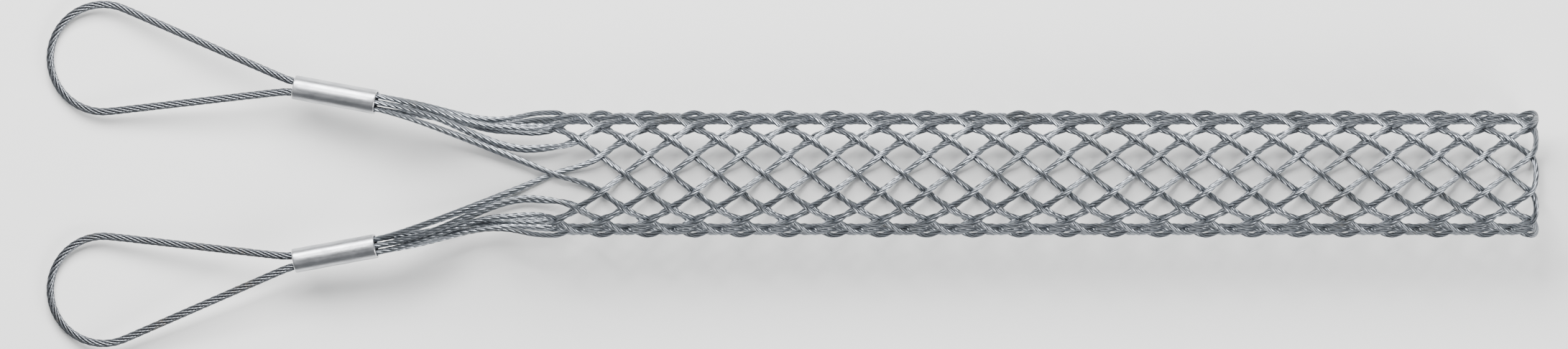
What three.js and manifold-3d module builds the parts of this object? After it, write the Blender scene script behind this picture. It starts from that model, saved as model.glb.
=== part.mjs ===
// Double-eye wire mesh pulling grip, open ended, in millimetres, +Z up.
//
// Ten spring-steel wires are braided into a long tube, one over and one under at every crossing.
// Each wire runs down the tube on one slope, turns back on itself at the hem on the +X end and
// comes home on the other slope, so that the hem has no cut end. At the -X end the twenty
// wire ends leave the braid in two fans of ten, and each fan is pressed into an oval sleeve.
// A short wire rope, bent into a teardrop eye, is pressed into the other end of each sleeve.
// The bore of the tube is clear from end to end.
//
// The grip lies on the ground: the tube rests on its underside, and the wires sag evenly from
// the tube to the eyes, whose far ends touch the ground on both sides.

import * as THREE from 'three';
import { mergeVertices } from 'three/addons/utils/BufferGeometryUtils.js';
import Module from 'manifold-3d';

// Braid
const WIRE_DIAMETER = 2.2;
const WIRE_SIDES = 5;
const WIRE_CLEARANCE = 0.25;
const STRANDS_EACH_WAY = 10;
const CROSSING_ROWS = 42;
const CROSSING_STEP = 9.38;
const BORE_DIAMETER = 42.4;
const HEM_REACH = 2.1;
const HEM_SHARES = [0.25, 0.5, 0.75];

// Fans of wire between the braid and the sleeves
const FAN_LENGTH = 72;
const SIDE_LEAD = 19.7;
const FAN_LIFT = 0.7;
const FAN_STEPS = 6;
const FAN_LAST_STEPS = 3;
const STRAIGHT_AT_MOUTH = 1;

// Oval sleeves
const SLEEVE_LENGTH = 34;
const SLEEVE_TILT = 10.4;
const SLEEVE_OFFSET = 29;
const SLEEVE_WALL = 0.9;
const SLEEVE_BEVEL = 0.5;
const SEAT_GAP = 0.3;
const STRAND_SEAT = 14;
const ROW_PITCH = 2.6;
const COLUMN_PITCH = 2.4;
const POCKET_CORNER = 3.2;

// Eyes
const EYE_ROPE_DIAMETER = 3.2;
const EYE_ROPE_SIDES = 8;
const EYE_RADIUS = 21.7;
const EYE_REACH = 78.7;
const EYE_OFFSET = -2.4;
const EYE_ARC_STEPS = 16;
const LEG_SPACING = 4.4;
const LEG_SEAT = 14;
const LEG_BEND = 5;

// Sizes that follow from the ones above
const WIRE_RADIUS = WIRE_DIAMETER / 2;
const ROPE_RADIUS = EYE_ROPE_DIAMETER / 2;
const UNDER_RADIUS = BORE_DIAMETER / 2 + WIRE_RADIUS;
const OVER_RADIUS = UNDER_RADIUS + WIRE_DIAMETER + WIRE_CLEARANCE;
const TUBE_RADIUS = OVER_RADIUS + WIRE_RADIUS;
const NODE_ANGLE = 360 / STRANDS_EACH_WAY;
const HALF_TURN = 360 / 2;
const STEP_ANGLE = NODE_ANGLE / 2;
const NODES_PER_FAN = STRANDS_EACH_WAY / 2;
const POCKET_HALF_HEIGHT = ROW_PITCH + WIRE_RADIUS + SEAT_GAP;
const POCKET_HALF_DEPTH = 1.5 * COLUMN_PITCH + WIRE_RADIUS + SEAT_GAP;
const SLEEVE_HALF_HEIGHT = POCKET_HALF_HEIGHT + SLEEVE_WALL;
const SLEEVE_HALF_DEPTH = POCKET_HALF_DEPTH + SLEEVE_WALL;
const SLEEVE_CORNER = POCKET_CORNER + SLEEVE_WALL;

// Each fan is worked out for the front of the upper sleeve, and mirrored for its back.
// way is 1 where the strand rises along +X and -1 where it falls, node counts the crossings
// of the first row up from the front, and joins is the row where the strand falls into step.
// On its way it passes a low point, at lead mm before the first row and at angle degrees,
// over or under as it would at the row named by level. rows and column place it in the sleeve,
// and splay is how soon it turns aside from the sleeve's line, 1 being as for a straight run.
const FAN = [
  {
    way: 1, node: 1, joins: 0, lead: SIDE_LEAD, angle: 48, level: 0,
    rows: [1, 1], column: 1, splay: 0.4,
  },
  {
    way: 1, node: 0, joins: 1, lead: 6.4, angle: 25, level: 0,
    rows: [0, 0], column: 1.5, splay: 0.3,
  },
  {
    way: -1, node: 0, joins: 2, lead: 0.6, angle: 0, level: 1,
    rows: [-1, -1], column: 1, splay: 1.3,
  },
  {
    way: -1, node: 1, joins: 0, lead: SIDE_LEAD, angle: 56, level: 0,
    rows: [0, 0], column: 0.5, splay: 0.5,
  },
  {
    way: 1, node: 2, joins: 0, lead: 12, angle: 68, level: 0,
    rows: [1, -1], column: 0, splay: 0.5,
  },
];

const steel = { color: 0xb9bcc0, roughness: 0.38, metalness: 0.9 };
const pressedSteel = { color: 0xc9cbcd, roughness: 0.32, metalness: 0.9 };

const radians = THREE.MathUtils.degToRad;
const degrees = THREE.MathUtils.radToDeg;

// The sag: from the first row towards the eyes the middle line bends down, then runs straight,
// so far that the end of each eye comes level with the underside of the tube.
function eyeDistance() {
  const along = SLEEVE_LENGTH + EYE_REACH + EYE_RADIUS;
  return FAN_LENGTH + along * Math.cos(radians(SLEEVE_TILT));
}

const SAG_SLOPE = (TUBE_RADIUS - ROPE_RADIUS) / (eyeDistance() - FAN_LENGTH / 2);

function middleHeight(x) {
  const before = Math.max(0, -x);
  if (before < FAN_LENGTH) {
    return -SAG_SLOPE * before * before / (2 * FAN_LENGTH);
  }
  return -SAG_SLOPE * (before - FAN_LENGTH / 2);
}

// A place round the tube: angle 0 is its top, as it lies, and 90 is its +Y side.
function place(x, angle, radius) {
  const turn = radians(angle);
  return new THREE.Vector3(
    x,
    radius * Math.sin(turn),
    middleHeight(x) + radius * Math.cos(turn),
  );
}

// A path whose extrusion steps fall exactly on its knots.
class WirePath extends THREE.Curve {
  constructor(knots) {
    super();
    this.knots = knots;
  }

  getPoint(t, target = new THREE.Vector3()) {
    const last = this.knots.length - 1;
    return target.copy(this.knots[Math.round(t * last)]);
  }

  getPointAt(u, target) {
    return this.getPoint(u, target);
  }

  getTangent(t, target = new THREE.Vector3()) {
    const last = this.knots.length - 1;
    const here = Math.round(t * last);
    const knot = this.knots[here];
    const into = this.knots[here].clone().sub(this.knots[Math.max(0, here - 1)]).normalize();
    const out = this.knots[Math.min(last, here + 1)].clone().sub(knot).normalize();
    return target.addVectors(into, out).normalize();
  }

  getTangentAt(u, target) {
    return this.getTangent(u, target);
  }
}

function roundSection(radius, sides) {
  const corners = [];
  for (let side = 0; side < sides; side += 1) {
    const turn = 2 * Math.PI * side / sides;
    corners.push(new THREE.Vector2(radius * Math.cos(turn), radius * Math.sin(turn)));
  }
  return new THREE.Shape(corners);
}

function sweep(knots, radius, sides) {
  return new THREE.ExtrudeGeometry(roundSection(radius, sides), {
    steps: knots.length - 1,
    extrudePath: new WirePath(knots),
  });
}

// The braid: strand number, way and row give the angle and the radius of every crossing.
function crossingAngle(way, strand, row) {
  return STEP_ANGLE + NODE_ANGLE * strand + way * STEP_ANGLE * row;
}

function crossingRadius(way, row) {
  const risesOver = row % 2 === 0;
  const isOver = way > 0 ? risesOver : !risesOver;
  return isOver ? OVER_RADIUS : UNDER_RADIUS;
}

function crossing(way, strand, row) {
  return place(row * CROSSING_STEP, crossingAngle(way, strand, row), crossingRadius(way, row));
}

function bezier(share, from, first, second, to) {
  const rest = 1 - share;
  return rest ** 3 * from + 3 * rest * rest * share * first
    + 3 * rest * share * share * second + share ** 3 * to;
}

// The hem: after the last row a falling strand bends round into the next rising one, along a
// Bezier curve on the unrolled tube that keeps the slope of the braid at both of its ends.
function hem(strand) {
  const end = CROSSING_ROWS * CROSSING_STEP;
  const start = crossingAngle(-1, strand, CROSSING_ROWS);
  const from = crossingRadius(-1, CROSSING_ROWS);
  const to = crossingRadius(1, CROSSING_ROWS);
  const handle = HEM_REACH / 0.75;
  const lean = STEP_ANGLE * handle / CROSSING_STEP;
  return HEM_SHARES.map((share) => place(
    end + bezier(share, 0, handle, handle, 0),
    start - bezier(share, 0, lean, NODE_ANGLE - lean, NODE_ANGLE),
    THREE.MathUtils.lerp(from, to, THREE.MathUtils.smoothstep(share, 0, 1)),
  ));
}

function strandAfterHem(strand) {
  const shift = CROSSING_ROWS + 1;
  return ((strand - shift) % STRANDS_EACH_WAY + STRANDS_EACH_WAY) % STRANDS_EACH_WAY;
}

// The frame of a sleeve: its mouth, the way to its eye, outwards from the tube, and across.
function sleeveFrame(side) {
  const tilt = Math.tan(radians(SLEEVE_TILT));
  const toEye = new THREE.Vector3(-1, side * tilt, -SAG_SLOPE).normalize();
  const outward = new THREE.Vector3(0, side, 0);
  outward.addScaledVector(toEye, -outward.dot(toEye)).normalize();
  const across = new THREE.Vector3().crossVectors(outward, toEye);
  const mouth = new THREE.Vector3(-FAN_LENGTH, side * SLEEVE_OFFSET, middleHeight(-FAN_LENGTH));
  return { mouth, toEye, outward, across };
}

function inSleeve(frame, along, out, over) {
  return frame.mouth.clone()
    .addScaledVector(frame.toEye, along)
    .addScaledVector(frame.outward, out)
    .addScaledVector(frame.across, over);
}

// One cubic between two values with given slopes.
function cubic(share, length, from, slopeFrom, to, slopeTo) {
  const s2 = share * share;
  const s3 = s2 * share;
  return (2 * s3 - 3 * s2 + 1) * from + (s3 - 2 * s2 + share) * length * slopeFrom
    + (3 * s2 - 2 * s3) * to + (s3 - s2) * length * slopeTo;
}

function fanEntry(way, node) {
  const mirrored = NODES_PER_FAN - 1 - node;
  const front = FAN.find((entry) => entry.way === way && entry.node === node);
  if (front) {
    return { ...front, row: front.rows[0], joinAngle: crossingAngle(way, node, front.joins) };
  }
  const back = FAN.find((entry) => entry.way === -way && entry.node === mirrored);
  return {
    ...back,
    way,
    angle: HALF_TURN - back.angle,
    row: back.rows[1],
    column: -back.column,
    joinAngle: crossingAngle(way, node, back.joins),
  };
}

// The knots of one strand from inside its sleeve to just before the row where it joins.
function fanKnots(way, strand) {
  const side = strand < NODES_PER_FAN ? 1 : -1;
  const half = side > 0 ? 0 : HALF_TURN;
  const entry = fanEntry(way, strand % NODES_PER_FAN);
  const frame = sleeveFrame(side);
  const out = entry.row * ROW_PITCH;
  const over = entry.column * COLUMN_PITCH;
  const start = inSleeve(frame, -STRAIGHT_AT_MOUTH, out, over);
  const rise = start.z - middleHeight(start.x);
  const startAngle = degrees(Math.atan2(side * start.y, side * rise));
  const startRadius = Math.hypot(start.y, rise);
  const lowX = -entry.lead;
  const joinX = entry.joins * CROSSING_STEP;
  const lowRadius = crossingRadius(way, entry.level) + FAN_LIFT;
  const first = lowX - start.x;
  const second = joinX - lowX;
  const firstSlope = (entry.angle - startAngle) / first;
  const secondSlope = (entry.joinAngle - entry.angle) / second;
  const lowSlope = (firstSlope * second + secondSlope * first) / (first + second);
  const joinSlope = way * STEP_ANGLE / CROSSING_STEP;
  const radiusSlope = -Math.tan(radians(SLEEVE_TILT));
  const knots = [inSleeve(frame, STRAND_SEAT, out, over)];
  for (let step = 0; step < FAN_STEPS; step += 1) {
    const share = step / FAN_STEPS;
    knots.push(place(
      start.x + first * share,
      half + cubic(share, first, startAngle, entry.splay * firstSlope, entry.angle, lowSlope),
      cubic(share, first, startRadius, radiusSlope, lowRadius, 0),
    ));
  }
  const joinRadius = crossingRadius(way, entry.joins);
  for (let step = 0; step < FAN_LAST_STEPS; step += 1) {
    const share = step / FAN_LAST_STEPS;
    knots.push(place(
      lowX + second * share,
      half + cubic(share, second, entry.angle, lowSlope, entry.joinAngle, joinSlope),
      cubic(share, second, lowRadius, 0, joinRadius, 0),
    ));
  }
  return { knots, joins: entry.joins };
}

function meshWire(strand) {
  const home = strandAfterHem(strand);
  const falling = fanKnots(-1, strand);
  const rising = fanKnots(1, home);
  const knots = [...falling.knots];
  for (let row = falling.joins; row <= CROSSING_ROWS; row += 1) {
    knots.push(crossing(-1, strand, row));
  }
  knots.push(...hem(strand));
  for (let row = CROSSING_ROWS; row >= rising.joins; row -= 1) {
    knots.push(crossing(1, home, row));
  }
  knots.push(...rising.knots.reverse());
  return sweep(knots, WIRE_RADIUS, WIRE_SIDES);
}

// A rectangle with round corners, centred, wide along x and high along y.
function ovalSection(halfWidth, halfHeight, corner) {
  const shape = new THREE.Shape();
  const flatX = halfWidth - corner;
  const flatY = halfHeight - corner;
  shape.moveTo(flatX, -halfHeight);
  shape.absarc(flatX, -flatY, corner, -Math.PI / 2, 0);
  shape.absarc(flatX, flatY, corner, 0, Math.PI / 2);
  shape.absarc(-flatX, flatY, corner, Math.PI / 2, Math.PI);
  shape.absarc(-flatX, -flatY, corner, Math.PI, 1.5 * Math.PI);
  shape.closePath();
  return shape;
}

const wasm = await Module();
wasm.setup();

function toSolid(geometry) {
  const bare = geometry.clone();
  bare.deleteAttribute('normal');
  bare.deleteAttribute('uv');
  const merged = mergeVertices(bare, 1e-4);
  return new wasm.Manifold(new wasm.Mesh({
    numProp: 3,
    vertProperties: new Float32Array(merged.attributes.position.array),
    triVerts: new Uint32Array(merged.index.array),
  }));
}

function toGeometry(solid) {
  const mesh = solid.getMesh();
  const geometry = new THREE.BufferGeometry();
  geometry.setAttribute('position', new THREE.BufferAttribute(mesh.vertProperties, 3));
  geometry.setIndex(new THREE.BufferAttribute(mesh.triVerts, 1));
  geometry.computeVertexNormals();
  return geometry;
}

// The pressed sleeve, along +Z from its mouth: an oval pocket for the strands at the mouth,
// and a round hole for each leg of the eye at the other end.
function sleeve() {
  const body = new THREE.ExtrudeGeometry(
    ovalSection(SLEEVE_HALF_DEPTH - SLEEVE_BEVEL, SLEEVE_HALF_HEIGHT - SLEEVE_BEVEL,
      SLEEVE_CORNER - SLEEVE_BEVEL),
    {
      depth: SLEEVE_LENGTH - 2 * SLEEVE_BEVEL,
      bevelEnabled: true,
      bevelThickness: SLEEVE_BEVEL,
      bevelSize: SLEEVE_BEVEL,
      bevelSegments: 2,
      curveSegments: 5,
    },
  );
  body.translate(0, 0, SLEEVE_BEVEL);
  const pocket = new THREE.ExtrudeGeometry(
    ovalSection(POCKET_HALF_DEPTH, POCKET_HALF_HEIGHT, POCKET_CORNER),
    { depth: STRAND_SEAT + SEAT_GAP + 1, bevelEnabled: false, curveSegments: 5 },
  );
  pocket.translate(0, 0, -1);
  let solid = toSolid(body).subtract(toSolid(pocket));
  for (const side of [-1, 1]) {
    const hole = new THREE.ExtrudeGeometry(
      roundSection(ROPE_RADIUS + SEAT_GAP, 2 * EYE_ROPE_SIDES),
      { depth: LEG_SEAT + SEAT_GAP + 1, bevelEnabled: false },
    );
    hole.translate(0, side * LEG_SPACING / 2, SLEEVE_LENGTH - LEG_SEAT - SEAT_GAP);
    solid = solid.subtract(toSolid(hole));
  }
  return toGeometry(solid);
}

// The eye: out of one hole of the sleeve, tangent to a circle, round it and back.
function eyeKnots(frame) {
  const at = (along, out) => inSleeve(frame, SLEEVE_LENGTH + along, out, 0);
  const legs = [1, -1].map((side) => {
    const out = side * LEG_SPACING / 2;
    const rise = EYE_OFFSET - out;
    const distance = Math.hypot(EYE_REACH, rise);
    const spread = Math.asin(EYE_RADIUS / distance);
    return { side, out, slope: Math.atan2(rise, EYE_REACH) + side * spread };
  });
  const bend = (leg) => [0, 0.5, 1].map((share) => at(
    LEG_BEND * share,
    leg.out + Math.tan(leg.slope) * LEG_BEND * share * share / 2,
  ));
  const touch = (leg) => leg.slope + leg.side * Math.PI / 2;
  const knots = [at(-LEG_SEAT, legs[0].out), ...bend(legs[0])];
  for (let step = 0; step <= EYE_ARC_STEPS; step += 1) {
    const turn = THREE.MathUtils.lerp(touch(legs[0]), touch(legs[1]), step / EYE_ARC_STEPS);
    knots.push(at(
      EYE_REACH + EYE_RADIUS * Math.cos(turn),
      EYE_OFFSET + EYE_RADIUS * Math.sin(turn),
    ));
  }
  knots.push(...bend(legs[1]).reverse(), at(-LEG_SEAT, legs[1].out));
  return knots;
}

function named(name, geometry, look) {
  const mesh = new THREE.Mesh(geometry, new THREE.MeshStandardMaterial(look));
  mesh.name = name;
  return mesh;
}

const grip = new THREE.Group();

for (let strand = 0; strand < STRANDS_EACH_WAY; strand += 1) {
  const number = String(strand + 1).padStart(2, '0');
  grip.add(named(`mesh_wire_${number}`, meshWire(strand), steel));
}

for (const [name, side] of [['upper', 1], ['lower', -1]]) {
  const frame = sleeveFrame(side);
  const body = named(`${name}_ferrule`, sleeve(), pressedSteel);
  const turn = new THREE.Matrix4().makeBasis(frame.across, frame.outward, frame.toEye);
  body.applyMatrix4(turn);
  body.position.copy(frame.mouth);
  grip.add(body);
  grip.add(named(`${name}_eye_rope`, sweep(eyeKnots(frame), ROPE_RADIUS, EYE_ROPE_SIDES), steel));
}

// The origin is on the ground, under the middle of the whole grip.
const box = new THREE.Box3().setFromObject(grip, true);
const middle = box.getCenter(new THREE.Vector3());
grip.position.set(-middle.x, -middle.y, -box.min.z);

export default grip;
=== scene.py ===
# %% [markdown]
# A wire mesh pulling grip, dressed with stranded wire, wire rope and pressed sleeves
#
# The grip is a tube braided from ten long steel strands, and its bore is clear from end to end.
# At one end is a hem, where every strand turns round and comes back, and at the other the
# strands gather in two fans, each with a pressed sleeve and an eye. The solids of the frame
# already hold its true layout, in metres. This script puts the real surface on each of them:
# laid wires in place of plain tubes, and pressed metal in place of plain sleeves. It begins by
# loading the frame.

# %% Load the frame
import math

import bpy
import bmesh
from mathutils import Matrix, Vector


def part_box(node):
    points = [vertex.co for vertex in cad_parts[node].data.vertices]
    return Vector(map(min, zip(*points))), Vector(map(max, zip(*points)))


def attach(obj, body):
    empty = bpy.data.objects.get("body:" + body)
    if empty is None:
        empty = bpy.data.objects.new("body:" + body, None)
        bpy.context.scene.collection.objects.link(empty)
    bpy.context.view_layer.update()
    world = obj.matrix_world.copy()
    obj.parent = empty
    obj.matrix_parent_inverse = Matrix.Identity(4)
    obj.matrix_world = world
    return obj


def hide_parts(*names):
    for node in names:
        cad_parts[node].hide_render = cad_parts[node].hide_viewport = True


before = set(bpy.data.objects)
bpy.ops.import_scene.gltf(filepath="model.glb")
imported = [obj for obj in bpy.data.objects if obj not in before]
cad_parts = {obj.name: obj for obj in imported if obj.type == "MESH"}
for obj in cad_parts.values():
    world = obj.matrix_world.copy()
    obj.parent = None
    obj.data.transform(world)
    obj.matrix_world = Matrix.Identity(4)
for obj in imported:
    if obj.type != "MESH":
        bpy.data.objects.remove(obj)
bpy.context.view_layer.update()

MM = 0.001

# %% [markdown]
# The braid follows from a few sizes. The tube has ten strands on each slope, and a crossing
# every 9.38 mm along it. Its routes could be read off the frame's meshes, but worked out from
# the sizes they are exact, and they can be changed. The angle round the tube is 0 on top and
# grows towards +Y. The frame places the whole grip with its box centred on the origin, so the
# shift from the braid's own start to the frame is measured once, on a sleeve of the frame.

# %% Sizes of the braid
WIRE_RADIUS = 1.1 * MM
WIRE_CLEARANCE = 0.25 * MM
STRANDS_EACH_WAY = 10
CROSSING_ROWS = 42
CROSSING_STEP = 9.38 * MM
BORE_RADIUS = 21.2 * MM
HEM_REACH = 2.1 * MM
UNDER_RADIUS = BORE_RADIUS + WIRE_RADIUS
OVER_RADIUS = UNDER_RADIUS + 2 * WIRE_RADIUS + WIRE_CLEARANCE
TUBE_RADIUS = OVER_RADIUS + WIRE_RADIUS
NODE_ANGLE = 360 / STRANDS_EACH_WAY
STEP_ANGLE = NODE_ANGLE / 2
NODES_PER_FAN = STRANDS_EACH_WAY // 2

# %% Sizes of the fans, sleeves and eyes
FAN_LENGTH = 72 * MM
FAN_LIFT = 0.7 * MM
STRAIGHT_AT_MOUTH = 1 * MM
SLEEVE_LENGTH = 34 * MM
SLEEVE_TILT = math.radians(10.4)
SLEEVE_OFFSET = 29 * MM
SLEEVE_WALL = 0.9 * MM
SEAT_GAP = 0.3 * MM
STRAND_SEAT = 14 * MM
ROW_PITCH = 2.6 * MM
COLUMN_PITCH = 2.4 * MM
POCKET_CORNER = 3.2 * MM
ROPE_RADIUS = 1.6 * MM
EYE_RADIUS = 21.7 * MM
EYE_REACH = 78.7 * MM
EYE_OFFSET = -2.4 * MM
LEG_SPACING = 4.4 * MM
LEG_SEAT = 14 * MM
LEG_BEND = 5 * MM

eye_distance = FAN_LENGTH + (SLEEVE_LENGTH + EYE_REACH + EYE_RADIUS) * math.cos(SLEEVE_TILT)
SAG_SLOPE = (TUBE_RADIUS - ROPE_RADIUS) / (eye_distance - FAN_LENGTH / 2)


def middle_height(x):
    """The middle line of the tube, which sags from the first crossing towards the eyes."""
    before = max(0.0, -x)
    if before < FAN_LENGTH:
        return -SAG_SLOPE * before * before / (2 * FAN_LENGTH)
    return -SAG_SLOPE * (before - FAN_LENGTH / 2)


class SleeveFrame:
    """Where a sleeve is: its mouth, the way to its eye, outwards from the tube, and across."""

    def __init__(self, side):
        self.to_eye = Vector((-1, side * math.tan(SLEEVE_TILT), -SAG_SLOPE)).normalized()
        flat = Vector((0, side, 0))
        self.outward = (flat - self.to_eye * flat.dot(self.to_eye)).normalized()
        self.across = self.outward.cross(self.to_eye)
        self.mouth = Vector((-FAN_LENGTH, side * SLEEVE_OFFSET, middle_height(-FAN_LENGTH)))

    def at(self, along, out, over):
        """A point by its place along the sleeve, outwards and across, from the mouth."""
        return self.mouth + self.to_eye * along + self.outward * out + self.across * over


low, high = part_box("upper_ferrule")
sleeve_middle = SleeveFrame(1).at(SLEEVE_LENGTH / 2, 0, 0)
SHIFT = (low + high) / 2 - sleeve_middle
print("shift from the braid's start to the frame, mm:", [round(v / MM, 3) for v in SHIFT])

# %% [markdown]
# A strand's route has five stretches: straight inside one sleeve, through the fan to the
# braid, down the tube on one slope, round the hem, and back up on the other slope to a sleeve
# again. On the tube the radius swings between under and over as a cosine, because a springy
# strand bends smoothly over its neighbours and never kinks. Straight pieces between crossings
# would be simpler, but would show their corners. The hem is a Bezier curve on the unrolled
# tube, which keeps the slope of the braid on both of its ends.

# %% Route through the braid
ROUTE_STEPS = 6
HEM_STEPS = 14
BEZIER_HEIGHT = 0.75


def place(x, angle, radius):
    turn = math.radians(angle)
    return Vector((x, radius * math.sin(turn), middle_height(x) + radius * math.cos(turn)))


def crossing_angle(way, strand, row):
    return STEP_ANGLE + NODE_ANGLE * strand + way * STEP_ANGLE * row


def crossing_radius(way, row):
    over_share = 0.5 + 0.5 * way * math.cos(math.pi * row)
    return UNDER_RADIUS + (OVER_RADIUS - UNDER_RADIUS) * over_share


def braid_points(way, strand, first_row, last_row):
    count = (last_row - first_row) * ROUTE_STEPS
    rows = [first_row + step / ROUTE_STEPS for step in range(count + 1)]
    return [
        place(row * CROSSING_STEP, crossing_angle(way, strand, row), crossing_radius(way, row))
        for row in rows
    ]


def bezier(share, ends):
    """A cubic Bezier value. With two like handles it rises to BEZIER_HEIGHT of them."""
    rest = 1 - share
    weights = (rest ** 3, 3 * rest * rest * share, 3 * rest * share * share, share ** 3)
    return sum(weight * end for weight, end in zip(weights, ends))


def hem_points(strand):
    end = CROSSING_ROWS * CROSSING_STEP
    start = crossing_angle(-1, strand, CROSSING_ROWS)
    reach = HEM_REACH / BEZIER_HEIGHT
    lean = STEP_ANGLE * reach / CROSSING_STEP
    points = []
    for step in range(1, HEM_STEPS):
        share = step / HEM_STEPS
        x = end + bezier(share, (0, reach, reach, 0))
        fall = bezier(share, (0, lean, NODE_ANGLE - lean, NODE_ANGLE))
        rise = share * share * (3 - 2 * share)
        radius = crossing_radius(-1, CROSSING_ROWS) * (1 - rise)
        radius += crossing_radius(1, CROSSING_ROWS) * rise
        points.append(place(x, start - fall, radius))
    return points


print("points of one strand down the tube:", len(braid_points(-1, 0, 0, CROSSING_ROWS)))

# %% [markdown]
# The ten strands of a fan leave their sleeve in three rows and wrap round the tube, each to
# its own crossing. Each could be a curve drawn by hand in space, but then it would have to be
# kept off nine others by eye. Here five routes are set for the front of the fan, with a few
# numbers each, and the back mirrors them. A route is two cubics in angle and radius, which
# meet where it lies nearest to the tube.

# %% Shape of the fans
# way is 1 where the angle grows along the tube and -1 where it falls, node counts the
# crossings of the first row from the top, and joins is the row where the strand falls into
# step. Its route lies nearest to the tube at lead before the first row and at angle degrees,
# over or under as it would at the row named by level. rows and column are its seat in the
# sleeve, in pitches, with one row for the front and one for the mirrored back. splay is how
# soon it turns aside from the sleeve's line, 1 being as for a straight run.
SIDE_LEAD = 19.7 * MM
FAN = (
    {"way": 1, "node": 1, "joins": 0, "lead": SIDE_LEAD, "angle": 48, "level": 0,
     "rows": (1, 1), "column": 1, "splay": 0.4},
    {"way": 1, "node": 0, "joins": 1, "lead": 6.4 * MM, "angle": 25, "level": 0,
     "rows": (0, 0), "column": 1.5, "splay": 0.3},
    {"way": -1, "node": 0, "joins": 2, "lead": 0.6 * MM, "angle": 0, "level": 1,
     "rows": (-1, -1), "column": 1, "splay": 1.3},
    {"way": -1, "node": 1, "joins": 0, "lead": SIDE_LEAD, "angle": 56, "level": 0,
     "rows": (0, 0), "column": 0.5, "splay": 0.5},
    {"way": 1, "node": 2, "joins": 0, "lead": 12 * MM, "angle": 68, "level": 0,
     "rows": (1, -1), "column": 0, "splay": 0.5},
)


def fan_entry(way, node):
    for entry in FAN:
        if (entry["way"], entry["node"]) == (way, node):
            return {**entry, "row": entry["rows"][0]}
    for entry in FAN:
        if (entry["way"], entry["node"]) == (-way, NODES_PER_FAN - 1 - node):
            mirrored = {"way": way, "angle": 180 - entry["angle"], "column": -entry["column"]}
            return {**entry, **mirrored, "row": entry["rows"][1]}
    raise ValueError("the fan has no such strand")


print("fan strands set by hand:", len(FAN), "of", 2 * NODES_PER_FAN)

# %% Route through the fans
SEAT_STEPS = 6
FAN_STEPS = 40
FAN_LAST_STEPS = 12


def cubic(share, length, start, start_slope, end, end_slope):
    """A value between two ends, which leaves and arrives with the slopes given."""
    s2 = share * share
    s3 = s2 * share
    value = (2 * s3 - 3 * s2 + 1) * start + (s3 - 2 * s2 + share) * length * start_slope
    return value + (3 * s2 - 2 * s3) * end + (s3 - s2) * length * end_slope


def seat_points(sleeve, slot):
    """The straight stretch inside the sleeve, from its deep end to the mouth."""
    return [
        sleeve.at(STRAND_SEAT * (1 - step / SEAT_STEPS), *slot) for step in range(SEAT_STEPS)
    ]


def angle_and_radius(point, side):
    """A point as degrees from the top, or from the bottom for the lower fan, and a radius."""
    rise = point.z - middle_height(point.x)
    angle = math.degrees(math.atan2(side * point.y, side * rise))
    return angle, math.hypot(point.y, rise)


def cubic_points(steps, start_x, length, half, angles, radii):
    """A stretch of route. Its radius and its angle, counted from half, are one cubic each."""
    points = []
    for step in range(steps):
        share = step / steps
        angle = cubic(share, length, *angles)
        radius = cubic(share, length, *radii)
        points.append(place(start_x + length * share, half + angle, radius))
    return points


def fan_points(way, strand):
    """The points from inside the sleeve to just before the joining row, and that row."""
    side = 1 if strand < NODES_PER_FAN else -1
    half = 0 if side > 0 else 180
    node = strand % NODES_PER_FAN
    entry = fan_entry(way, node)
    sleeve = SleeveFrame(side)
    slot = (entry["row"] * ROW_PITCH, entry["column"] * COLUMN_PITCH)
    start = sleeve.at(-STRAIGHT_AT_MOUTH, *slot)
    start_angle, start_radius = angle_and_radius(start, side)
    low_radius = crossing_radius(way, entry["level"]) + FAN_LIFT
    join_angle = crossing_angle(way, node, entry["joins"])
    join_radius = crossing_radius(way, entry["joins"])
    first = -entry["lead"] - start.x
    second = entry["joins"] * CROSSING_STEP + entry["lead"]
    first_slope = (entry["angle"] - start_angle) / first
    second_slope = (join_angle - entry["angle"]) / second
    low_slope = (first_slope * second + second_slope * first) / (first + second)
    join_slope = way * STEP_ANGLE / CROSSING_STEP
    approach = cubic_points(
        FAN_STEPS, start.x, first, half,
        angles=(start_angle, entry["splay"] * first_slope, entry["angle"], low_slope),
        radii=(start_radius, -math.tan(SLEEVE_TILT), low_radius, 0))
    landing = cubic_points(
        FAN_LAST_STEPS, -entry["lead"], second, half,
        angles=(entry["angle"], low_slope, join_angle, join_slope),
        radii=(low_radius, 0, join_radius, 0))
    return seat_points(sleeve, slot) + approach + landing, entry["joins"]


# %% Whole strands
def softened(points, rounds=4):
    """Each round moves the inner points halfway to the mean of their neighbours."""
    for _ in range(rounds):
        inner = [
            (points[i - 1] + points[i] * 2 + points[i + 1]) / 4
            for i in range(1, len(points) - 1)
        ]
        points = [points[0]] + inner + [points[-1]]
    return points


def wire_route(strand):
    home = (strand - CROSSING_ROWS - 1) % STRANDS_EACH_WAY
    falling, falling_row = fan_points(-1, strand)
    rising, rising_row = fan_points(1, home)
    down = braid_points(-1, strand, falling_row, CROSSING_ROWS)
    back = braid_points(1, home, rising_row, CROSSING_ROWS)
    route = softened(falling) + down + hem_points(strand) + back[::-1] + softened(rising)[::-1]
    return [point + SHIFT for point in route]


def length_of(route):
    return sum((b - a).length for a, b in zip(route, route[1:]))


routes = [wire_route(strand) for strand in range(STRANDS_EACH_WAY)]
print("strand lengths, m:", [round(length_of(route), 3) for route in routes])

# %% [markdown]
# The eye is one piece of wire rope. It leaves one hole of the sleeve, runs tangent to a
# circle, goes round it and comes back to the other hole, as a teardrop that lies flat. A
# Bezier curve through four points would come close, but two straight legs and an arc are what
# a rope under load takes up, and the tangents follow from three sizes.

# %% Route of the eye
EYE_ARC_STEPS = 60
LEG_STEPS = 12
LEG_SEAT_STEPS = 4
LEG_BEND_STEPS = 4


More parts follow.
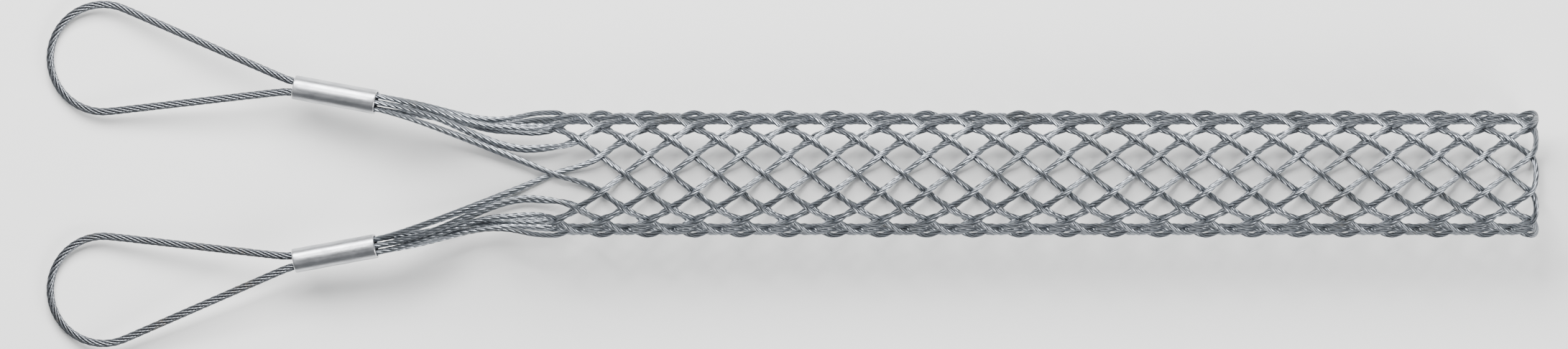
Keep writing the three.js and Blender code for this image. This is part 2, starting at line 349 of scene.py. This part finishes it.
def circle_spot(turn):
    """A spot on the eye's circle, along and outwards from the end of the sleeve."""
    return (EYE_REACH + EYE_RADIUS * math.cos(turn),
            EYE_OFFSET + EYE_RADIUS * math.sin(turn))


def leg_slope(leg):
    """The slope at which a leg, 1 or -1, runs tangent to the circle."""
    rise = EYE_OFFSET - leg * LEG_SPACING / 2
    spread = math.asin(EYE_RADIUS / math.hypot(EYE_REACH, rise))
    return math.atan2(rise, EYE_REACH) + leg * spread


def leg_spots(leg):
    """The spots from a leg's seat to the circle, and the turn at which it touches that."""
    slope = leg_slope(leg)
    touch = slope + leg * math.pi / 2
    out = leg * LEG_SPACING / 2
    turn_out = math.tan(slope) * LEG_BEND / 2
    spots = []
    for step in range(LEG_SEAT_STEPS):
        spots.append((-LEG_SEAT * (1 - step / LEG_SEAT_STEPS), out))
    for step in range(LEG_BEND_STEPS):
        share = step / LEG_BEND_STEPS
        spots.append((LEG_BEND * share, out + turn_out * share * share))
    bent = Vector((LEG_BEND, out + turn_out))
    end = Vector(circle_spot(touch))
    for step in range(LEG_STEPS):
        spots.append(tuple(bent.lerp(end, step / LEG_STEPS)))
    return spots, touch


# %% Whole eyes
def eye_spots():
    """The flat teardrop, from one seat round the circle to the other seat."""
    first, first_touch = leg_spots(1)
    second, second_touch = leg_spots(-1)
    arc = []
    for step in range(EYE_ARC_STEPS + 1):
        turn = first_touch + (second_touch - first_touch) * step / EYE_ARC_STEPS
        arc.append(circle_spot(turn))
    return first + arc + second[::-1]


def eye_route(side):
    sleeve = SleeveFrame(side)
    points = [sleeve.at(SLEEVE_LENGTH + along, out, 0) + SHIFT for along, out in eye_spots()]
    return softened(points, rounds=2)


eye_routes = {"upper": eye_route(1), "lower": eye_route(-1)}
eye_lengths = {name: round(length_of(route), 3) for name, route in eye_routes.items()}
print("eye rope lengths, m:", eye_lengths)

# %% [markdown]
# One small class builds node trees, for shaders and for geometry alike. Its one method adds
# any node from its type, its settings and the values or links of its sockets. A second class
# wraps a socket, so that sums can be written as plain expressions: each operator adds a Math
# node behind it. Every node could be added and linked by hand instead, but a sum of three
# terms would then take ten lines, and its meaning would be lost among them.

# %% Node helpers
class Sum:
    """A number socket that can be used in an expression."""

    def __init__(self, bench, socket):
        self.bench = bench
        self.socket = socket

    def math(self, operation, *others, swap=False):
        values = [self, *others]
        if swap:
            values.reverse()
        return self.bench.math(operation, *values)

    def __add__(self, other):
        return self.math("ADD", other)

    def __sub__(self, other):
        return self.math("SUBTRACT", other)

    def __mul__(self, other):
        return self.math("MULTIPLY", other)

    def __truediv__(self, other):
        return self.math("DIVIDE", other)

    def __rsub__(self, other):
        return self.math("SUBTRACT", other, swap=True)

    __radd__ = __add__
    __rmul__ = __mul__


# %% Node bench
class Bench:
    """Adds nodes to one tree."""

    def __init__(self, tree):
        self.tree = tree

    def node(self, node_type, settings=None, **sockets):
        node = self.tree.nodes.new(node_type)
        for name, value in (settings or {}).items():
            setattr(node, name, value)
        for name, value in sockets.items():
            self.feed(self.input_of(node, name), value)
        return node

    def input_of(self, node, name):
        if name.startswith("i") and name[1:].isdigit():
            return node.inputs[int(name[1:])]
        wanted = name.replace("_", " ").lower()
        usable = [socket for socket in node.inputs if socket.enabled]
        return next(socket for socket in usable if socket.name.lower() == wanted)

    def feed(self, socket, value):
        if isinstance(value, Sum):
            value = value.socket
        if isinstance(value, bpy.types.NodeSocket):
            self.tree.links.new(value, socket)
        else:
            socket.default_value = value

    def math(self, operation, *values):
        sockets = {f"i{index}": value for index, value in enumerate(values)}
        node = self.node("ShaderNodeMath", {"operation": operation}, **sockets)
        return Sum(self, node.outputs[0])

    def value(self, node, output=0):
        return Sum(self, node.outputs[output])


# %% [markdown]
# A strand is laid from seven round wires: one in the middle and six round it, which is all
# that can be seen. Seven tubes would need many faces. Swept as one outline with six lobes, and
# turned a little at every step along the route, it shows the true helical lay with few faces.
# The Geometry Nodes tree below does that for any route. It also stores how deep each point
# lies between the wires, which the material uses to paint shade into the grooves.

# %% Geometry Nodes: the outline of a strand
LOBES = 6
THIN_SHARE = 1 / 3
CENTRE_SHARE = 1 - THIN_SHARE
GROOVE_REACH = math.sqrt(CENTRE_SHARE ** 2 - THIN_SHARE ** 2)


def new_tree(name, inputs):
    tree = bpy.data.node_groups.new(name, "GeometryNodeTree")
    tree.interface.new_socket("Geometry", in_out="INPUT", socket_type="NodeSocketGeometry")
    for label, kind in inputs:
        tree.interface.new_socket(label, in_out="INPUT", socket_type=kind)
    tree.interface.new_socket("Geometry", in_out="OUTPUT", socket_type="NodeSocketGeometry")
    return tree


def lobed_outline(bench, radius, points_per_lobe):
    """A closed outline of six round wires of a third of its radius, and the groove depth."""
    count = LOBES * points_per_lobe
    circle = bench.node("GeometryNodeCurvePrimitiveCircle", Resolution=count, Radius=1.0)
    index = bench.value(bench.node("GeometryNodeInputIndex"))
    inside = bench.math("MODULO", index, points_per_lobe)
    turn = (inside - points_per_lobe / 2) * (2 * math.pi / count)
    far = bench.math("COSINE", turn) * CENTRE_SHARE
    side = bench.math("SINE", turn) * CENTRE_SHARE
    left = bench.math("MAXIMUM", THIN_SHARE ** 2 - side * side, 0.0)
    reach = far + bench.math("SQRT", left)
    position = bench.node("GeometryNodeInputPosition")
    grown = bench.node("ShaderNodeVectorMath", {"operation": "SCALE"},
                       i0=position.outputs[0], Scale=reach * radius)
    shaped = bench.node("GeometryNodeSetPosition", i0=circle.outputs[0],
                        Position=grown.outputs[0])
    stored = bench.node("GeometryNodeStoreNamedAttribute",
                        {"data_type": "FLOAT", "domain": "POINT"},
                        Geometry=shaped.outputs[0], Name="groove",
                        Value=(1 - reach) / (1 - GROOVE_REACH))
    return stored.outputs[0]


# %% Geometry Nodes: lay a strand along a route
def resampled(bench, geometry, step):
    curve = bench.node("GeometryNodeMeshToCurve", i0=geometry)
    even = bench.node("GeometryNodeResampleCurve", {"mode": "LENGTH"},
                      Curve=curve.outputs[0], Length=step)
    return even.outputs[0]


def twisted(bench, curve, lay):
    length = bench.value(bench.node("GeometryNodeSplineParameter"), "Length")
    tilted = bench.node("GeometryNodeSetCurveTilt", Curve=curve,
                        Tilt=length * (2 * math.pi) / lay)
    return tilted.outputs[0]


def finish_strand(bench, curve, outline, material, output):
    mesh = bench.node("GeometryNodeCurveToMesh", Curve=curve, Profile_Curve=outline,
                      Fill_Caps=True)
    smooth = bench.node("GeometryNodeSetShadeSmooth", i0=mesh.outputs[0], Shade_Smooth=True)
    real = bench.node("GeometryNodeRealizeInstances", i0=smooth.outputs[0])
    dressed = bench.node("GeometryNodeSetMaterial", i0=real.outputs[0], Material=material)
    bench.feed(output.inputs[0], dressed.outputs[0])


def strand_tree(points_per_lobe):
    inputs = (("Radius", "NodeSocketFloat"), ("Lay", "NodeSocketFloat"),
              ("Step", "NodeSocketFloat"), ("Material", "NodeSocketMaterial"))
    tree = new_tree("laid strand", inputs)
    bench = Bench(tree)
    given = bench.node("NodeGroupInput").outputs
    output = bench.node("NodeGroupOutput")
    curve = resampled(bench, given["Geometry"], given["Step"])
    curve = twisted(bench, curve, Sum(bench, given["Lay"]))
    outline = lobed_outline(bench, Sum(bench, given["Radius"]), points_per_lobe)
    finish_strand(bench, curve, outline, given["Material"], output)
    return tree


# %% [markdown]
# The eye is a rope of finer strands: six of them run round a seventh, the core. The second tree
# copies the route six times, moves each copy to its own place round the turning normal of the
# route, and adds the route itself for the core. It lays a strand along all seven, twisted the
# other way, as in a regular lay rope. A bump map could show the same on a plain tube, but the
# edge of the rope would stay smooth. The first tree's pieces are used again.

# %% Geometry Nodes: lay a rope along a route
def scaled(bench, vector, factor):
    node = bench.node("ShaderNodeVectorMath", {"operation": "SCALE"}, i0=vector, Scale=factor)
    return node.outputs[0]


def way_from_core(bench, angle, radius):
    """From the core to the strand that lies at angle round the turning normal."""
    normal = bench.node("GeometryNodeInputNormal").outputs[0]
    tangent = bench.node("GeometryNodeInputTangent").outputs[0]
    across = bench.node("ShaderNodeVectorMath", {"operation": "CROSS_PRODUCT"},
                        i0=tangent, i1=normal).outputs[0]
    part = scaled(bench, normal, bench.math("COSINE", angle) * radius * CENTRE_SHARE)
    rest = scaled(bench, across, bench.math("SINE", angle) * radius * CENTRE_SHARE)
    both = bench.node("ShaderNodeVectorMath", {"operation": "ADD"}, i0=part, i1=rest)
    return both.outputs[0]


def rope_tree(points_per_lobe):
    inputs = (("Radius", "NodeSocketFloat"), ("Rope Lay", "NodeSocketFloat"),
              ("Strand Lay", "NodeSocketFloat"), ("Step", "NodeSocketFloat"),
              ("Material", "NodeSocketMaterial"))
    tree = new_tree("laid rope", inputs)
    bench = Bench(tree)
    given = bench.node("NodeGroupInput").outputs
    output = bench.node("NodeGroupOutput")
    radius = Sum(bench, given["Radius"])
    core = resampled(bench, given["Geometry"], given["Step"])
    turning = twisted(bench, core, Sum(bench, given["Rope Lay"]))
    copies = bench.node("GeometryNodeDuplicateElements", {"domain": "SPLINE"},
                        Geometry=turning, Amount=LOBES)
    angle = bench.value(copies, "Duplicate Index") * (2 * math.pi / LOBES)
    moved = bench.node("GeometryNodeSetPosition", i0=copies.outputs[0],
                       Offset=way_from_core(bench, angle, radius))
    joined = bench.node("GeometryNodeJoinGeometry", i0=moved.outputs[0])
    bench.feed(joined.inputs[0], core)
    curve = twisted(bench, joined.outputs[0], Sum(bench, given["Strand Lay"]))
    outline = lobed_outline(bench, radius * THIN_SHARE, points_per_lobe)
    finish_strand(bench, curve, outline, given["Material"], output)
    return tree


# %% [markdown]
# A route becomes a piece in three moves: its points and edges go into a mesh, the tree runs on
# it as a modifier, and the result is copied out as a plain mesh. The modifier could stay live,
# but then every later step would have to work out the strand again, and an export that knows
# no modifiers would show a bare line.

# %% Run a tree on a route
def route_object(name, route):
    mesh = bpy.data.meshes.new(name)
    mesh.from_pydata(route, [(i, i + 1) for i in range(len(route) - 1)], [])
    piece = bpy.data.objects.new(name, mesh)
    bpy.context.scene.collection.objects.link(piece)
    return piece


def grown(name, route, tree, inputs):
    carrier = route_object(name + "_route", route)
    modifier = carrier.modifiers.new("lay", "NODES")
    modifier.node_group = tree
    for item in tree.interface.items_tree:
        if item.in_out == "INPUT" and item.name in inputs:
            modifier[item.identifier] = inputs[item.name]
    depsgraph = bpy.context.evaluated_depsgraph_get()
    mesh = bpy.data.meshes.new_from_object(carrier.evaluated_get(depsgraph))
    mesh.name = name
    piece = bpy.data.objects.new(name, mesh)
    bpy.context.scene.collection.objects.link(piece)
    bpy.data.objects.remove(carrier)
    return piece


# %% [markdown]
# All of the metal is zinc-coated steel, but it doesn't look alike: the wire of the braid is
# bright, and the rope of the eyes is duller from handling. Both come from one recipe. Noise in
# several sizes varies the colour and the roughness, the grooves between wires are painted dark
# as shade and are rougher, a little brown stain sits here and there, and a fine bump breaks up
# the highlights.
# A picture of rust or zinc could be laid on instead, but it would need seams and a UV map.

# %% Material helpers
def new_material(name):
    material = bpy.data.materials.new(name)
    material.use_nodes = True
    material.node_tree.nodes.clear()
    bench = Bench(material.node_tree)
    shader = bench.node("ShaderNodeBsdfPrincipled")
    output = bench.node("ShaderNodeOutputMaterial")
    bench.feed(output.inputs["Surface"], shader.outputs[0])
    return material, bench, shader


def noise(bench, vector, scale, detail=3.0, roughness=0.5):
    node = bench.node("ShaderNodeTexNoise", Vector=vector, Scale=scale, Detail=detail,
                      Roughness=roughness)
    return bench.value(node)


def stepped(bench, value, low_edge, high_edge):
    node = bench.node("ShaderNodeMapRange", {"interpolation_type": "SMOOTHSTEP"},
                      Value=value, From_Min=low_edge, From_Max=high_edge)
    return bench.value(node)


def mixed(bench, factor, first, second):
    """A mix of two colours, by the colour sockets of a Mix node."""
    node = bench.node("ShaderNodeMix", {"data_type": "RGBA"})
    bench.feed(node.inputs[0], factor)
    bench.feed(node.inputs[6], first)
    bench.feed(node.inputs[7], second)
    return node.outputs[2]


def attribute(bench, name):
    """A value that the mesh holds at each of its points."""
    return bench.value(bench.node("ShaderNodeAttribute", {"attribute_name": name}), "Fac")


# %% Material recipe for laid wire
# The scales of the noise count its waves in a metre.
PATCH_SCALE = 38.0
SPANGLE_SCALE = 900.0
GRIT_SCALE = 5200.0
GRIT_DEPTH = 0.06 * MM
STAIN_COLOUR = (0.30, 0.26, 0.21, 1)


def laid_wire_material(name, bright, dull, groove_shade_colour, base_roughness, stain):
    material, bench, shader = new_material(name)
    position = bench.node("ShaderNodeTexCoord").outputs["Object"]
    groove = attribute(bench, "groove")
    broad = noise(bench, position, scale=PATCH_SCALE, detail=4.0)
    spangle = noise(bench, position, scale=SPANGLE_SCALE, detail=2.0)
    fine = noise(bench, position, scale=GRIT_SCALE, detail=2.0)
    patches = stepped(bench, broad, low_edge=0.42, high_edge=0.66)
    tone = mixed(bench, patches * 0.65 + spangle * 0.35, bright, dull)
    deep = stepped(bench, groove, low_edge=0.35, high_edge=1.0)
    # painted shade: the colour darkens towards the near-black groove colour deep between the
    # wires
    colour = mixed(bench, deep * 0.85, tone, groove_shade_colour)
    spots = stepped(bench, broad * 0.6 + spangle * 0.4, low_edge=0.56, high_edge=0.70)
    stained = spots * stain
    colour = mixed(bench, stained, colour, STAIN_COLOUR)
    bench.feed(shader.inputs["Base Color"], colour)
    roughness = base_roughness + spangle * 0.16 + patches * 0.10 + deep * 0.22
    bench.feed(shader.inputs["Roughness"], roughness)
    shader.inputs["Metallic"].default_value = 1.0
    bump = bench.node("ShaderNodeBump", Strength=0.25, Distance=GRIT_DEPTH,
                      Height=fine * 0.6 + spangle * 0.4)
    bench.feed(shader.inputs["Normal"], bump.outputs[0])
    return material


strand_steel = laid_wire_material(
    "zinc_coated_strand", bright=(0.28, 0.30, 0.33, 1), dull=(0.16, 0.175, 0.19, 1),
    groove_shade_colour=(0.04, 0.04, 0.045, 1), base_roughness=0.22, stain=0.25)
rope_steel = laid_wire_material(
    "zinc_coated_rope", bright=(0.26, 0.275, 0.30, 1), dull=(0.15, 0.16, 0.175, 1),
    groove_shade_colour=(0.03, 0.03, 0.033, 1), base_roughness=0.26, stain=0.4)
print("wire materials:", strand_steel.name, rope_steel.name)

# %% [markdown]
# The ten braid strands come first, because everything else is judged against them. They could
# be one strand, copied round the tube, but in the fans no two run alike, so each is grown on
# its own route. Their lay is about ten times their diameter, as in stock strand.

# %% Braid strands
STRAND_LAY = 21 * MM
STRAND_STEP = 1.3 * MM
mesh_tree = strand_tree(points_per_lobe=4)
for strand, route in enumerate(routes):
    node = f"mesh_wire_{strand + 1:02d}"
    inputs = {"Radius": WIRE_RADIUS, "Lay": STRAND_LAY, "Step": STRAND_STEP,
              "Material": strand_steel}
    piece = grown(f"braid_strand_{strand + 1:02d}", route, mesh_tree, inputs)
    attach(piece, "root")
    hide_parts(node)
print("faces in the last strand:", len(piece.data.polygons))

# %% [markdown]
# The two eye ropes use the second tree. Their strands are finer and turn sooner, so the steps
# are shorter, and two points for each wire are enough to show them. Four points, as in the
# braid, would double the faces for a difference that only a magnifier shows.

# %% Eye ropes
ROPE_LAY = 20 * MM
EYE_STRAND_LAY = -9 * MM
ROPE_STEP = 0.9 * MM
eye_tree = rope_tree(points_per_lobe=2)
for name, route in eye_routes.items():
    inputs = {"Radius": ROPE_RADIUS, "Rope Lay": ROPE_LAY, "Strand Lay": EYE_STRAND_LAY,
              "Step": ROPE_STEP, "Material": rope_steel}
    piece = grown(f"{name}_eye", route, eye_tree, inputs)
    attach(piece, "root")
    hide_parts(f"{name}_eye_rope")
print("faces in an eye:", len(piece.data.polygons))

# %% [markdown]
# A sleeve is a short oval tube that a press has closed on the wires, so its ends are rounded,
# its metal has flowed in between the wires, and a thin seam runs along both narrow sides where
# the two halves of the die met. A bevel on the frame's own sleeve would round its rims, but
# would leave too few points for the marks. So it is built as a row of oval outlines, from the
# filling inside one end, over the rim, along the outside and into the other end. At the end of
# the fan the filling lies deep between the wires, and at the other end it closes round the legs
# of the eye.

# %% Sizes of the sleeve's surface
OUTLINE_POINTS = 64
BODY_RINGS = 30
RIM_STEPS = 6
RIM_ROUND = 0.45 * MM
FILL_DEPTH = 0.9 * MM
FLAT_PULL = 4
SEAM_HEIGHT = 0.10 * MM
SEAM_WIDTH = 0.35 * MM
WAVE_HEIGHT = 0.035 * MM
WAVES = 3
UNMARKED_END = 0.04
pocket_half_height = ROW_PITCH + WIRE_RADIUS + SEAT_GAP
pocket_half_depth = 1.5 * COLUMN_PITCH + WIRE_RADIUS + SEAT_GAP
sleeve_half_height = pocket_half_height + SLEEVE_WALL
sleeve_half_depth = pocket_half_depth + SLEEVE_WALL
sleeve_corner = POCKET_CORNER + SLEEVE_WALL
sleeve_section = (2 * sleeve_half_depth, 2 * sleeve_half_height)
print("section of a sleeve, mm:", [round(size / MM, 2) for size in sleeve_section])


# %% Sleeve outline and stations
def oval_point(share, inset):
    """A point on the rounded rectangle, share of the way round, inset inwards.

    FLAT_PULL is how soon the outline reaches the end of a flat side.
    """
    corner = sleeve_corner - inset
    flat_x = sleeve_half_depth - sleeve_corner
    flat_y = sleeve_half_height - sleeve_corner
    turn = 2 * math.pi * share
    cosine = math.cos(turn)
    sine = math.sin(turn)
    x = math.copysign(flat_x, cosine) * min(1, abs(cosine) * FLAT_PULL)
    y = math.copysign(flat_y, sine) * min(1, abs(sine) * FLAT_PULL)
    return Vector((x + corner * cosine, y + corner * sine))


def sleeve_stations():
    """Pairs of a place along the sleeve and an inset, for the end at the mouth."""
    half = [(FILL_DEPTH, SLEEVE_WALL), (RIM_ROUND, SLEEVE_WALL)]
    for step in range(1, RIM_STEPS + 1):
        turn = math.pi * step / RIM_STEPS
        half.append((RIM_ROUND * (1 - math.sin(turn)),
                     SLEEVE_WALL / 2 * (1 + math.cos(turn))))
    return half


def sleeve_rings():
    """All pairs, from the filling at the fan to the one round the legs of the eye."""
    start = sleeve_stations()
    body = [SLEEVE_LENGTH * ring / BODY_RINGS for ring in range(1, BODY_RINGS)]
    middle = [(along, 0.0) for along in body if RIM_ROUND < along < SLEEVE_LENGTH - RIM_ROUND]
    end = [(SLEEVE_LENGTH - along, inset) for along, inset in reversed(start[1:])]
    return start + middle + end


# %% Marks of the press
def pressed(along, share, point):
    """The marks of the press: a seam along both narrow sides and a slight waviness."""
    if not UNMARKED_END < along / SLEEVE_LENGTH < 1 - UNMARKED_END:
        return point
    side = min(abs(share), abs(share - 0.5), abs(share - 1))
    width = side * 2 * math.pi * sleeve_half_height
    ridge = SEAM_HEIGHT * math.exp(-(width / SEAM_WIDTH) ** 2)
    wave = WAVE_HEIGHT * math.sin(along / SLEEVE_LENGTH * 2 * math.pi * WAVES)
    return point * (1 + (ridge + wave) / point.length)


# %% Sleeve mesh
def add_ring(shape, sleeve, along, inset, rim, mouth):
    """One outline of the sleeve, with its values in the layers rim and mouth."""
    in_rim = 0 < inset < SLEEVE_WALL
    in_mouth = inset == SLEEVE_WALL and along < SLEEVE_LENGTH / 2
    ring = []
    for step in range(OUTLINE_POINTS):
        share = step / OUTLINE_POINTS
        spot = oval_point(share, inset)
        if inset == 0.0:
            spot = pressed(along, share, spot)
        vertex = shape.verts.new(sleeve.at(along, spot.y, spot.x) + SHIFT)
        vertex[rim] = float(in_rim)
        vertex[mouth] = float(in_mouth)
        ring.append(vertex)
    return ring


def sleeve_mesh(name, sleeve):
    mesh = bpy.data.meshes.new(name)
    shape = bmesh.new()
    rim = shape.verts.layers.float.new("rim")
    mouth = shape.verts.layers.float.new("mouth")
    rings = [
        add_ring(shape, sleeve, along, inset, rim, mouth) for along, inset in sleeve_rings()
    ]
    for ring, following in zip(rings, rings[1:]):
        for step in range(OUTLINE_POINTS):
            after = (step + 1) % OUTLINE_POINTS
            shape.faces.new((ring[step], ring[after], following[after], following[step]))
    shape.faces.new(rings[0])
    shape.faces.new(list(reversed(rings[-1])))
    bmesh.ops.recalc_face_normals(shape, faces=shape.faces)
    for face in shape.faces:
        face.smooth = len(face.verts) == 4
    shape.to_mesh(mesh)
    shape.free()
    return mesh


# %% [markdown]
# The sleeve's metal is smooth and satin. Fine scratches run along it, from being dragged over
# ground and rollers, the rims are polished bright by wear, and the gaps between the wires in
# its mouth are painted near-black as shade. A picture of scratches would show a seam where it
# meets itself round the sleeve. Noise that is stretched along the sleeve has no seam, and two
# attributes of the mesh mark the rims and the mouth.

# %% Sleeve material
SCRATCH_STRETCH = 0.06
SCRATCH_SCALE = 3600.0
SCRATCH_DEPTH = 0.05 * MM
HANDLING_SCALE = 120.0
GRAIN_SCALE = 4200.0
SATIN = (0.55, 0.56, 0.58, 1)
HANDLED = (0.38, 0.39, 0.41, 1)
POLISHED = (0.72, 0.73, 0.74, 1)
# Painted shade: the near-black colour of the gaps between the wires in the mouth.
MOUTH_SHADE = (0.03, 0.03, 0.032, 1)


def sleeve_material(name, tilt):
    material, bench, shader = new_material(name)
    position = bench.node("ShaderNodeTexCoord").outputs["Object"]
    rim = attribute(bench, "rim")
    mouth = attribute(bench, "mouth")
    turned = bench.node("ShaderNodeMapping", Vector=position, Rotation=(0, 0, tilt))
    stretched = bench.node("ShaderNodeMapping", Vector=turned.outputs[0],
                           Scale=(SCRATCH_STRETCH, 1, 1))
    scratches = noise(bench, stretched.outputs[0], scale=SCRATCH_SCALE)
    broad = noise(bench, position, scale=HANDLING_SCALE, detail=4.0)
    grain = noise(bench, position, scale=GRAIN_SCALE, detail=2.0)
    handled = stepped(bench, broad, low_edge=0.40, high_edge=0.68)
    tone = mixed(bench, handled * 0.6 + scratches * 0.4, SATIN, HANDLED)
    colour = mixed(bench, rim * 0.7, tone, POLISHED)
    # painted shade: the filling between the wires at the fan's mouth is coloured near-black
    colour = mixed(bench, mouth, colour, MOUTH_SHADE)
    bench.feed(shader.inputs["Base Color"], colour)
    roughness = 0.22 + scratches * 0.22 + handled * 0.10 - rim * 0.06 + mouth * 0.30
    bench.feed(shader.inputs["Roughness"], roughness)
    shader.inputs["Metallic"].default_value = 1.0
    bump = bench.node("ShaderNodeBump", Strength=0.3, Distance=SCRATCH_DEPTH,
                      Height=scratches * 0.7 + grain * 0.3)
    bench.feed(shader.inputs["Normal"], bump.outputs[0])
    return material


# %% Sleeves
for name, side in (("upper", 1), ("lower", -1)):
    metal = sleeve_material(f"pressed_metal_{name}", side * SLEEVE_TILT)
    mesh = sleeve_mesh(f"{name}_sleeve", SleeveFrame(side))
    mesh.materials.append(metal)
    piece = bpy.data.objects.new(f"{name}_sleeve", mesh)
    bpy.context.scene.collection.objects.link(piece)
    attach(piece, "root")
    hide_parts(f"{name}_ferrule")
print("faces in a sleeve:", len(piece.data.polygons))

# %% [markdown]
# The studio is a pale floor, a large soft light from the upper left and a weaker one from the
# right. A white dome all round would be simpler, but metal shows what is round it. So the
# background is a mid grey: the lights then draw clean highlights along the wires, and the
# sides of the wires stay dark enough to stand out from the floor.

# %% Floor
FLOOR_SIZE = 6.0
PALE = (0.86, 0.86, 0.85, 1)


def make_floor():
    mesh = bpy.data.meshes.new("floor")
    half = FLOOR_SIZE / 2
    corners = [(-half, -half, 0), (half, -half, 0), (half, half, 0), (-half, half, 0)]
    mesh.from_pydata(corners, [], [(0, 1, 2, 3)])
    material, _, shader = new_material("pale_floor")
    shader.inputs["Base Color"].default_value = PALE
    shader.inputs["Roughness"].default_value = 0.85
    mesh.materials.append(material)
    floor = bpy.data.objects.new("floor", mesh)
    bpy.context.scene.collection.objects.link(floor)


make_floor()
print("floor, m:", FLOOR_SIZE)

# %% Lights
MID_GREY = (0.55, 0.57, 0.60, 1)
BACKGROUND_STRENGTH = 0.32


def area_light(name, place_at, size, watts):
    """A rectangle of light that faces the middle of the grip."""
    light = bpy.data.lights.new(name, "AREA")
    light.shape = "RECTANGLE"
    light.size, light.size_y = size
    light.energy = watts
    lamp = bpy.data.objects.new(name, light)
    lamp.location = place_at
    lamp.rotation_euler = (-lamp.location).to_track_quat("-Z", "Y").to_euler()
    bpy.context.scene.collection.objects.link(lamp)


area_light("key", place_at=(-0.30, 0.75, 1.00), size=(1.2, 0.7), watts=54)
area_light("fill", place_at=(0.9, -0.5, 0.8), size=(0.6, 0.6), watts=16)
world = bpy.data.worlds.new("studio")
world.use_nodes = True
background = world.node_tree.nodes["Background"]
background.inputs["Color"].default_value = MID_GREY
background.inputs["Strength"].default_value = BACKGROUND_STRENGTH
bpy.context.scene.world = world
print("lights, W:", {light.name: light.energy for light in bpy.data.lights})

# %% [markdown]
# The reference looks straight down on the grip, with no perspective. A far camera with a long
# lens would come close, but an orthographic one does exactly that, and its scale is the width
# of the picture in metres. The first row of crossings is 772 pixels from the left, and the
# middle of the tube 242.3 pixels from the top, which places the camera.

# %% Camera
IMAGE_WIDTH = 2182
IMAGE_HEIGHT = 486
PIXEL = 0.29 * MM
FIRST_ROW_PIXEL = 772
MIDDLE_PIXEL = 242.3
CAMERA_HEIGHT = 1.5
camera_data = bpy.data.cameras.new("camera")
camera_data.type = "ORTHO"
camera_data.ortho_scale = IMAGE_WIDTH * PIXEL
camera_data.dof.use_dof = False
camera = bpy.data.objects.new("camera", camera_data)
camera.location = (
    SHIFT.x + (IMAGE_WIDTH / 2 - FIRST_ROW_PIXEL) * PIXEL,
    SHIFT.y + (MIDDLE_PIXEL - IMAGE_HEIGHT / 2) * PIXEL,
    CAMERA_HEIGHT,
)
bpy.context.scene.collection.objects.link(camera)
bpy.context.scene.camera = camera
print("camera at", [round(v, 4) for v in camera.location])
